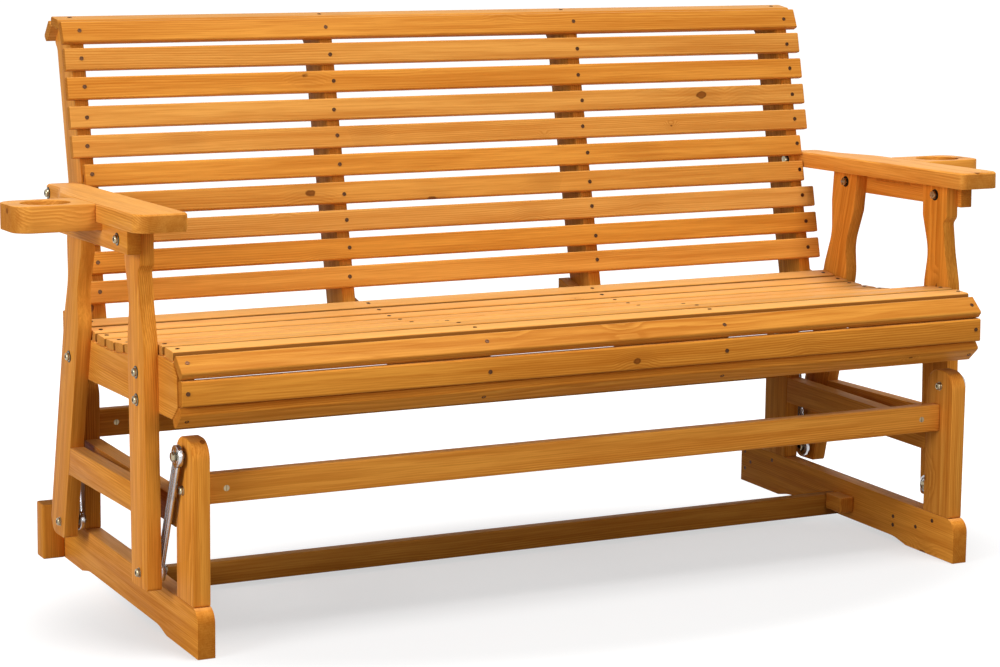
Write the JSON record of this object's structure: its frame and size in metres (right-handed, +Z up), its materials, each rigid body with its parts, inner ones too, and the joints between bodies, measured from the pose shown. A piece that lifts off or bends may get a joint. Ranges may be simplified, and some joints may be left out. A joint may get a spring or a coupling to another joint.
{
  "type": "porch glider bench",
  "caption": "Slatted wooden glider bench with a contoured seat, scrolled back, armrests with cup holders, hung by ribbed swing arms from a low frame.",
  "frame": {"origin": "middle of the bench at floor level, at the bottom centre of its box", "axes": "+X across the bench to the sitter's left, which is the right side seen from the front, +Y to the back, +Z up"},
  "size_m": [1.752, 0.6864, 0.8955],
  "materials": {
    "stained_fir": "honey stained, satin",
    "pale_fir": "honey stained, satin",
    "ribbed_steel": "bright zinc plated",
    "bearing_steel": "polished",
    "zinc": "zinc plated"
  },
  "bodies": {
    "base": {"barrel_nuts": "zinc", "base_rail_left": "stained_fir", "base_rail_right": "stained_fir", "corner_cleats": "stained_fir", "front_cross_rail": "stained_fir", "front_post_left": "stained_fir", "front_post_right": "stained_fir", "lower_cross_bar": "stained_fir", "rail_bolts": "zinc", "rear_cross_rail": "stained_fir", "rear_post_left": "stained_fir", "rear_post_right": "stained_fir", "rear_stop_blocks": "stained_fir", "side_rail_left": "stained_fir", "side_rail_right": "stained_fir", "upper_pivot_bolts": "zinc"},
    "front_arms": {"front_arm_bearings": "bearing_steel", "front_swing_arm_left": "ribbed_steel", "front_swing_arm_right": "ribbed_steel"},
    "rear_arms": {"rear_arm_bearings": "bearing_steel", "rear_lower_pins": "zinc", "rear_swing_arm_left": "ribbed_steel", "rear_swing_arm_right": "ribbed_steel"},
    "glider": {"arm_bolts": "zinc", "arm_rail_left": "stained_fir", "arm_rail_right": "stained_fir", "armrest_left": "pale_fir", "armrest_right": "pale_fir", "back_post_left": "stained_fir", "back_post_right": "stained_fir", "back_posts_middle": "stained_fir", "back_rear_slat": "stained_fir", "back_slat_01": "stained_fir", "back_slat_02": "stained_fir", "back_slat_03": "stained_fir", "back_slat_04": "stained_fir", "back_slat_05": "stained_fir", "back_slat_06": "stained_fir", "back_slat_07": "stained_fir", "back_slat_08": "stained_fir", "back_slat_09": "stained_fir", "back_slat_10": "stained_fir", "back_top_slat": "stained_fir", "cup_holder_left": "pale_fir", "cup_holder_right": "pale_fir", "frame_bolts": "zinc", "front_leg_left": "stained_fir", "front_leg_right": "stained_fir", "front_nose_slat": "stained_fir", "lower_nose_slat": "stained_fir", "lower_pivot_bolts": "zinc", "lower_stretcher_left": "stained_fir", "lower_stretcher_right": "stained_fir", "rear_leg_left": "stained_fir", "rear_leg_right": "stained_fir", "seat_slats": "pale_fir", "seat_support_left": "stained_fir", "seat_support_right": "stained_fir", "seat_supports_middle": "stained_fir", "upper_nose_slat": "pale_fir"}
  },
  "joints": [
    {"name": "front_arm_swing", "type": "hinge", "parent": "base", "child": "front_arms", "pos_m": [0, -0.28988, 0.293], "axis": [1, 0, 0], "range_deg": [-16, 15]},
    {"name": "glider_rock", "type": "hinge", "parent": "front_arms", "child": "glider", "pos_m": [0, -0.21143, 0.10361], "axis": [1, 0, 0], "range_deg": [-19.5, 21]},
    {"name": "rear_arm_swing", "type": "hinge", "parent": "base", "child": "rear_arms", "pos_m": [0, 0.22012, 0.293], "axis": [1, 0, 0], "range_deg": [-15.5, 14.5]}
  ],
  "couplings": [
    {"joint": "glider_rock", "follows": "front_arm_swing", "ratio": -1.2913},
    {"joint": "rear_arm_swing", "follows": "front_arm_swing", "ratio": 0.9367}
  ]
}
